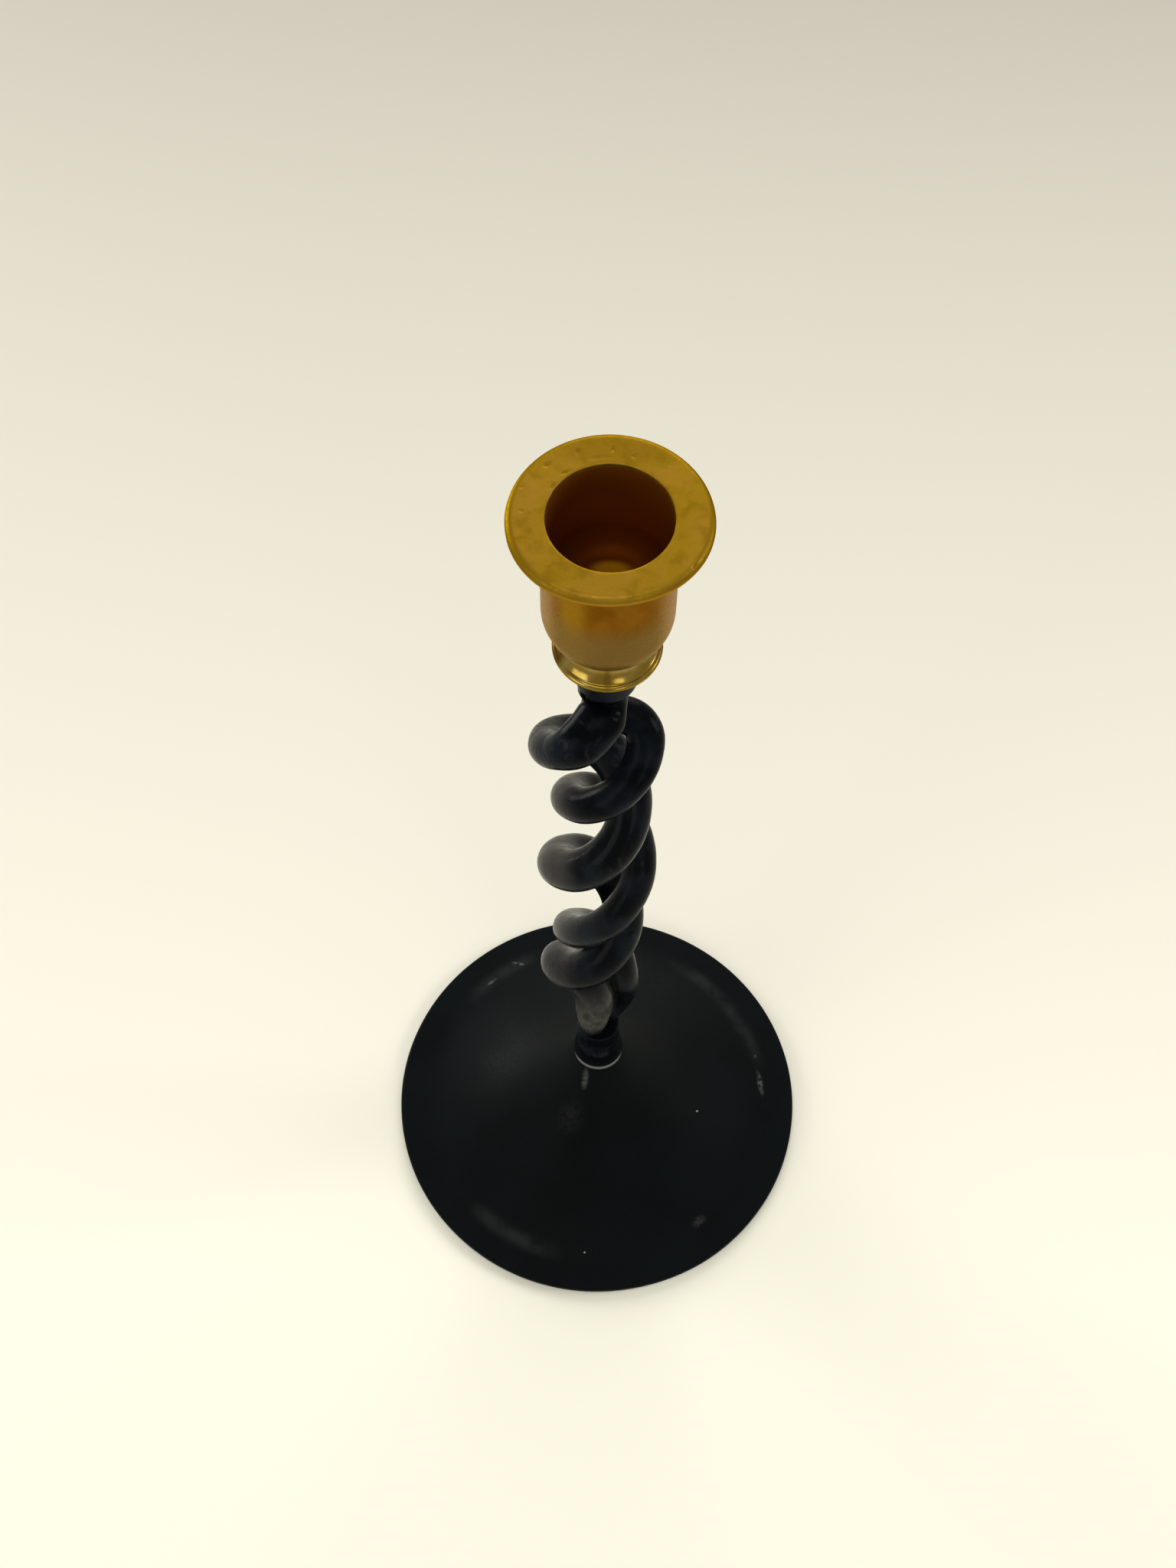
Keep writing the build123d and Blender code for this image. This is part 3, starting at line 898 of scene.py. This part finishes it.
@dataclass
class TrumpetFoot:
    """Black trumpet foot with its felt ring."""

    wall: float = 2.0 * MM
    border_w: float = 8.4 * MM
    border_fall: float = 0.6 * MM
    crease_soft: float = 3.0 * MM
    edge_wall: float = 1.8 * MM
    edge_round: float = 1.0 * MM
    edge_under: float = 0.3 * MM
    hollow_r: float = 58.0 * MM
    seat_r: float = 6.3 * MM
    seat_lip: float = 1.2 * MM
    seat_wall: float = 9.0 * MM
    seat_round: float = 0.4 * MM
    hole_r: float = 3.3 * MM
    felt_round: float = 0.35 * MM
    sides: int = 256
    crease_steps: int = 12
    felt_steps: int = 4
    waves: Unevenness = Unevenness(0.07 * MM, 26 * MM, 0.012 * MM, 5 * MM)
    fluff: Unevenness = Unevenness(0.05 * MM, 4 * MM, 0.05 * MM, 1.1 * MM)

    def hollow_z(self, radius: float, crease: Vector, rim: Vector, inset: float) -> float:
        """Height of the trumpet's hollow curve.

        Args:
            radius: Distance from the axis.
            crease: Foot of the curve.
            rim: Top of the curve.
            inset: Wall between the curve and the one wanted.

        Returns:
            Height at that radius.
        """
        chord = rim - crease
        middle = (crease + rim) / 2
        reach = math.sqrt(self.hollow_r**2 - chord.length_squared / 4)
        centre = middle + Vector((chord.y, -chord.x)).normalized() * reach
        return centre.y - math.sqrt((self.hollow_r + inset) ** 2 - (centre.x - radius) ** 2)

    def build_shell(self) -> Piece:
        """Turn the shell, with a softened crease and rounded edges."""
        low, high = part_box(Node.BASE.value)
        felt_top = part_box(Node.FELT.value)[1].z
        edge_r, top = high.x, high.z
        crease = Vector((edge_r - self.border_w, felt_top + self.wall))
        rim = Vector((self.seat_r, top - self.seat_lip))
        ceiling = top - self.seat_wall
        inner_edge = edge_r - self.edge_wall
        border_z = crease.y - self.border_fall
        outline = Outline().start(self.hole_r, ceiling).line(self.hole_r, top)
        outline.line(self.seat_r - self.seat_round, top)
        outline.curve((self.seat_r, top), (self.seat_r, top - self.seat_round)).line(*rim)
        soft_r = crease.x - self.crease_soft
        span = soft_r - self.seat_r
        steps = round(span / MM)
        for n in range(1, steps + 1):
            radius = self.seat_r + span * n / steps
            outline.points.append(Vector((radius, self.hollow_z(radius, crease, rim, 0))))
        beyond = crease.lerp(Vector((edge_r, border_z)), self.crease_soft / self.border_w)
        outline.curve(crease, beyond, self.crease_steps)
        outline.line(edge_r - self.edge_round, border_z)
        outline.curve((edge_r, border_z), (edge_r, border_z - self.edge_round))
        outline.line(edge_r, low.z + self.edge_under)
        outline.curve((edge_r, low.z), (edge_r - self.edge_under, low.z))
        outline.line(inner_edge, low.z).line(inner_edge, felt_top)
        wall_r = [r * MM for r in range(round(inner_edge / MM) - 1, round(self.seat_r / MM), -1)]
        under = [Vector((r, self.hollow_z(r, crease, rim, self.wall))) for r in wall_r]
        outline.points += [point for point in under if felt_top < point.y < ceiling]
        outline.line(outline.points[-1].x, ceiling)
        return turn_piece("trumpet_foot", outline, self.sides, True, self.waves)

    def build_felt(self) -> Piece:
        """Turn the felt ring, with round edges and a fluffy surface."""
        low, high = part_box(Node.FELT.value)
        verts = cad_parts[Node.FELT.value].data.vertices
        inner = min(math.hypot(vert.co.x, vert.co.y) for vert in verts)
        outer, soft = high.x, self.felt_round
        outline = Outline().start(inner + soft, low.z).line(outer - soft, low.z)
        outline.curve((outer, low.z), (outer, low.z + soft), self.felt_steps).line(outer, high.z)
        outline.line(inner, high.z).line(inner, low.z + soft)
        outline.curve((inner, low.z), (inner + soft, low.z), self.felt_steps)
        outline.points.pop()
        return turn_piece("felt_ring", outline, self.sides, True, self.felt_shift)

    def felt_shift(self, at: Vector) -> float:
        """Unevenness of the felt, which never leaves its solid."""
        return -abs(self.fluff(at))

    def build(self) -> None:
        """Make and dress the foot's pieces."""
        coat = PowderCoat(crease_r=self.crease_radius(), seat_r=self.seat_r).make()
        seat(self.build_shell(), Node.BASE, coat)
        felt = self.build_felt()
        seat(felt, Node.FELT, PressedFelt().make())

    def crease_radius(self) -> float:
        """Distance of the crease from the axis."""
        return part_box(Node.BASE.value)[1].x - self.border_w


@dataclass
class Fixings:
    """Screw, washer and stud that hold the holder together."""

    def build(self) -> None:
        """Dress the fixings."""
        zinc = ZincPlate().make()
        for node in (Node.SCREW, Node.WASHER, Node.STUD):
            keep(node, zinc)


@dataclass
class TwistedStem:
    """Two bent rods between a flared boss and a collar."""

    rod_face: float = 0.4 * MM
    boss_face: float = 0.22 * MM
    rod_passes: int = 4
    boss_passes: int = 3
    rod_waves: Unevenness = Unevenness(0.12 * MM, 9 * MM, 0.025 * MM, 2.6 * MM, 0.08 * MM)
    boss_waves: Unevenness = Unevenness(0.03 * MM, 5 * MM, 0.01 * MM, 1.5 * MM)
    collar_wide: float = 1.0 * MM
    collar_narrow: float = -0.7 * MM
    collar_drop: float = 2.5 * MM
    collar_core: float = 2.0 * MM
    collar_skin: float = 4.0 * MM
    end_thick: tuple[float, float] = (0.8 * MM, 1.4 * MM)
    end_low: float = 11.0 * MM
    end_fade: float = 5.0 * MM
    loop_drawn: float = 0.85 * MM
    loop_fall: float = 30.0 * MM
    loop_fade: float = 12.0 * MM
    loop_from: float = 1.0 * MM
    loop_to: float = 8.5 * MM

    def draw_loop(self, rod: Piece) -> None:
        """Thin a rod on the left of its first loop, where bending has stretched it."""
        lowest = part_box(Node.NECK_BOSS.value)[0].z - self.loop_fall

        def drawn(vert: Vertex) -> Vector:
            """Way in towards the rod's leftmost line."""
            up = share_of(vert.co.z, lowest - self.loop_fade, lowest)
            left = smooth(share_of(-vert.co.x, self.loop_from, self.loop_to))
            return (Vector((-1, 0, 0)) - vert.normal) * self.loop_drawn * up * left

        move_each(rod, drawn)

    def thicken_end(self, rod: Piece, thick: float) -> None:
        """Leave more metal, at most as thick as asked for, on the left of a rod's upper end."""
        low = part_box(Node.NECK_BOSS.value)[0].z - self.end_low

        def thickened(vert: Vertex) -> Vector:
            """Way out, most where the rod faces left."""
            up = share_of(vert.co.z, low, low + self.end_fade)
            return vert.normal * thick * up * max(0.0, -vert.normal.x)

        move_each(rod, thickened)

    def flare_collar(self, collar: Piece) -> None:
        """Widen the collar under the reel and draw its core down to a cone over the rods' ends."""
        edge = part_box(Node.NECK_BOSS.value)[0].z + self.collar_core
        for vert in collar.data.vertices:
            flat = Vector((vert.co.x, vert.co.y, 0))
            down = max(0.0, (edge - vert.co.z) / self.collar_core)
            if flat.length > self.collar_skin:
                wider = self.collar_wide + (self.collar_narrow - self.collar_wide) * down
                vert.co += flat.normalized() * wider
            vert.co.z -= self.collar_drop * down

    def build(self) -> None:
        """Make and dress the stem's pieces."""
        lacquer = SatinLacquer().make()
        for node, thick in zip((Node.STRAND_A, Node.STRAND_B), self.end_thick):
            name = "bent_" + node.value
            rod = rework_node(node, name, self.rod_face, self.rod_passes, self.rod_waves)
            if node is Node.STRAND_A:
                self.draw_loop(rod)
            self.thicken_end(rod, thick)
            seat(rod, node, lacquer)
        for node in (Node.FOOT_BOSS, Node.NECK_BOSS):
            name = "cast_" + node.value
            boss = rework_node(node, name, self.boss_face, self.boss_passes, self.boss_waves)
            if node is Node.NECK_BOSS:
                self.flare_collar(boss)
            seat(boss, node, lacquer)


@dataclass
class CandleSocket:
    """Gold-coloured cup on its polished reel."""

    lip_t: float = 2.7 * MM
    cove_r: float = 2.5 * MM
    wall_r: float = 12.1 * MM
    belly_h: float = 8.5 * MM
    waist_r: float = 7.8 * MM
    bore_r: float = 11.0 * MM
    bore_depth: float = 22.5 * MM
    bore_corner: float = 4.6 * MM
    mouth: float = 0.4 * MM
    flange_t: float = 1.6 * MM
    stud_hole_r: float = 3.3 * MM
    sides: int = 192
    step: float = 0.5 * MM
    lip_step: float = 0.3 * MM
    under_step: float = 0.4 * MM
    mouth_steps: int = 6
    corner_steps: int = 12
    edge_steps: int = 20
    pressed: float = 1.1 * MM
    pressed_way: float = -84.0
    pressed_from: float = 12.6 * MM
    pressed_under: float = 1.0 * MM
    pressed_fade: int = 3
    lip_waves: Unevenness = Unevenness(0.035 * MM, 6 * MM, 0.008 * MM, 1.6 * MM)
    reel_waves: Unevenness = Unevenness(0.02 * MM, 5 * MM, 0.0, 2 * MM)

    def build_cup(self) -> Piece:
        """Turn the cup: bore, lip with a full-round edge, cove, wall and rounded bottom."""
        low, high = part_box(Node.CUP.value)
        top, bottom = high.z, low.z
        floor, edge_r = top - self.bore_depth, high.x - self.lip_t / 2
        under = top - self.lip_t
        outline = Outline().start(0, floor).line(self.bore_r - self.bore_corner, floor, self.step)
        outline.arc(self.bore_r, floor + self.bore_corner, (1, 0), self.corner_steps)
        outline.line(self.bore_r, top - self.mouth, self.step)
        outline.curve((self.bore_r, top), (self.bore_r + self.mouth, top), self.mouth_steps)
        outline.line(edge_r, top, self.lip_step)
        outline.arc(edge_r, under, (1, 0), self.edge_steps)
        outline.line(self.wall_r + self.cove_r, under, self.under_step)
        outline.arc(self.wall_r, under - self.cove_r, (-1, 0), self.corner_steps)
        outline.line(self.wall_r, bottom + self.belly_h, self.step)
        outline.arc(self.waist_r, bottom, (0, -1), self.edge_steps).line(0, bottom)
        cup = turn_piece("gold_cup", outline, self.sides, False, self.lip_waves)
        self.press_lip(cup)
        return cup

    def press_lip(self, cup: Piece) -> None:
        """Push in the front of the cup's lip, where it is out of round."""
        angle = math.radians(self.pressed_way)
        way = Vector((math.cos(angle), math.sin(angle), 0))
        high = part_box(Node.CUP.value)[1]
        for vert in cup.data.vertices:
            flat = Vector((vert.co.x, vert.co.y, 0))
            out = (flat.length - self.pressed_from) / (high.x - self.pressed_from)
            if out > 0 and vert.co.z > high.z - self.lip_t - self.pressed_under:
                front = max(0.0, flat.normalized().dot(way)) ** self.pressed_fade
                vert.co -= flat.normalized() * self.pressed * min(1.0, out) * front

    def build_reel(self) -> Piece:
        """Turn the reel: thin flange with a round edge and a hollow curve up to the waist."""
        low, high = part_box(Node.REEL.value)
        edge_r = high.x - self.flange_t / 2
        outline = Outline().start(self.stud_hole_r, low.z).line(edge_r, low.z, self.step)
        outline.arc(edge_r, low.z + self.flange_t, (1, 0))
        rise, run = high.z - low.z - self.flange_t, edge_r - self.waist_r
        lean = math.pi / 2 - 2 * math.atan2(run, rise)
        outline.arc(self.waist_r, high.z, (-math.cos(lean), math.sin(lean)), self.edge_steps)
        outline.line(self.stud_hole_r, high.z).line(self.stud_hole_r, low.z + MM)
        return turn_piece("polished_reel", outline, self.sides, True, self.reel_waves)

    def build(self) -> None:
        """Make and dress the cup and the reel."""
        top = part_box(Node.CUP.value)[1].z
        seat(self.build_cup(), Node.CUP, SatinGold().make(top))
        seat(self.build_reel(), Node.REEL, PolishedGold().make())


@dataclass(frozen=True)
class Lamp:
    """A soft square lamp."""

    name: str
    place: tuple[float, float, float]
    size: float
    power: float
    colour: tuple[float, float, float] = (1.0, 1.0, 1.0)
    aim: tuple[float, float, float] = (0.0, 0.0, 0.12)

    def build(self) -> None:
        """Hang the lamp and point it."""
        data = bpy.data.lights.new(self.name, "AREA")
        data.size = self.size
        data.energy = self.power
        data.color = self.colour
        lamp = link(bpy.data.objects.new(self.name, data))
        lamp.location = self.place
        lamp.rotation_euler = (Vector(self.aim) - Vector(self.place)).to_track_quat("-Z", "Y").to_euler()


@dataclass
class Studio:
    """Pale floor, soft lamps and even surroundings."""

    near: Colour = (0.985, 0.965, 0.815, 1)
    far: Colour = (0.505, 0.47, 0.405, 1)
    near_y: float = -0.05
    far_y: float = 0.43
    floor_half: float = 6.0
    floor_rough: float = 0.9
    floor_gloss: float = 0.1
    plain_r: float = 0.55
    backdrop_r: float = 0.95
    surroundings: Colour = (0.62, 0.595, 0.54, 1)
    light: float = 0.52
    lamps: tuple[Lamp, ...] = (
        Lamp("window_left", (-0.92, 0.7, 0.25), 0.5, 7.5),
        Lamp("window_back", (0.15, 1.3, 0.7), 1.1, 12.0),
        Lamp("window_right", (1.1, 0.15, 0.6), 0.4, 4.0),
        Lamp("lamp_front_left", (-0.75, -0.62, 0.45), 0.5, 2.0, aim=(0.0, 0.0, 0.2)),
        Lamp("lamp_front_right", (0.38, -0.9, 0.45), 0.3, 0.8, aim=(0.0, 0.0, 0.2)),
        Lamp("sky_above", (-0.15, -0.5, 1.9), 1.2, 9.5),
    )

    def looked_at(self, tree: bpy.types.NodeTree) -> Socket:
        """1 for a ray that sees the backdrop, also in a reflection, and 0 for one that is lit by it."""
        rays = tree.nodes.new("ShaderNodeLightPath")
        found = rays.outputs["Is Camera Ray"]
        for name in ("Is Glossy Ray", "Is Transmission Ray"):
            either = tree.nodes.new("ShaderNodeMath")
            either.operation = "MAXIMUM"
            tree.links.new(found, either.inputs[0])
            tree.links.new(rays.outputs[name], either.inputs[1])
            found = either.outputs[0]
        return found

    def build_floor(self) -> None:
        """Lay the floor, cream in front, greyer behind and even with the surroundings far away."""
        shape = bmesh.new()
        bmesh.ops.create_grid(shape, x_segments=1, y_segments=1, size=self.floor_half)
        mesh = bpy.data.meshes.new("floor")
        shape.to_mesh(mesh)
        shape.free()
        floor = link_piece("floor", mesh)
        graph = ShaderGraph("floor_paper")
        ahead = graph.maths("SUBTRACT", graph.split()[1], self.near_y)
        share = graph.maths("DIVIDE", ahead, self.far_y - self.near_y, clamp=True)
        graph.surface(
            Base_Color=graph.blend(share, self.near, self.far),
            Roughness=self.floor_rough,
            Specular_IOR_Level=self.floor_gloss,
        )
        backdrop = graph.tree.nodes.new("ShaderNodeEmission")
        graph.feed(backdrop.inputs["Color"], self.surroundings)
        both = graph.tree.nodes.new("ShaderNodeMixShader")
        distance = graph.remap(graph.radius(), self.plain_r, self.backdrop_r)
        graph.feed(both.inputs[0], graph.times(self.looked_at(graph.tree), distance))
        graph.feed(both.inputs[1], graph.shader.outputs[0])
        graph.feed(both.inputs[2], backdrop.outputs[0])
        graph.feed(graph.tree.nodes["Material Output"].inputs["Surface"], both.outputs[0])
        dress(floor, graph.material)

    def build_surroundings(self) -> None:
        """Fill the room with even dim light, pale where the camera sees it."""
        world = bpy.data.worlds.new("surroundings")
        bpy.context.scene.world = world
        world.use_nodes = True
        tree = world.node_tree
        background = tree.nodes["Background"]
        background.inputs["Color"].default_value = self.surroundings
        level = tree.nodes.new("ShaderNodeMapRange")
        level.inputs["To Min"].default_value = self.light
        level.inputs["To Max"].default_value = 1.0
        tree.links.new(self.looked_at(tree), level.inputs["Value"])
        tree.links.new(level.outputs[0], background.inputs["Strength"])

    def build(self) -> None:
        """Set up the floor, the surroundings and the lamps."""
        self.build_floor()
        self.build_surroundings()
        for lamp in self.lamps:
            lamp.build()
        bpy.context.scene.view_settings.view_transform = "Standard"


@dataclass(frozen=True)
class PhotoCamera:
    """Camera that looks down on the holder from the photograph's angle."""

    back: float = 0.2219
    height: float = 0.5901
    pitch: float = 61.52
    pan: float = -0.85
    roll: float = -0.58
    lens: float = 52.54
    sensor: float = 36.0

    def build(self) -> None:
        """Place the camera and make it the scene's."""
        pitch, pan, roll = (math.radians(angle) for angle in (self.pitch, self.pan, self.roll))
        ahead = Vector((math.sin(pan) * math.cos(pitch), math.cos(pan) * math.cos(pitch), -math.sin(pitch)))
        right = Vector((math.cos(pan), -math.sin(pan), 0))
        down = ahead.cross(right)
        tilted = right * math.cos(roll) + down * math.sin(roll)
        below = down * math.cos(roll) - right * math.sin(roll)
        data = bpy.data.cameras.new("photo_camera")
        data.lens = self.lens
        data.sensor_width = self.sensor
        camera = link(bpy.data.objects.new("photo_camera", data))
        turn = Matrix((tilted, -below, -ahead)).transposed().to_4x4()
        camera.matrix_world = Matrix.Translation((0, -self.back, self.height)) @ turn
        bpy.context.scene.camera = camera


def main() -> None:
    """Build the holder, then the studio round it."""
    logging.basicConfig(level=logging.INFO)
    for assembly in (TrumpetFoot(), Fixings(), TwistedStem(), CandleSocket(), Studio(), PhotoCamera()):
        assembly.build()
        LOG.info("%s done", type(assembly).__name__)


if __name__ == "__main__":
    main()
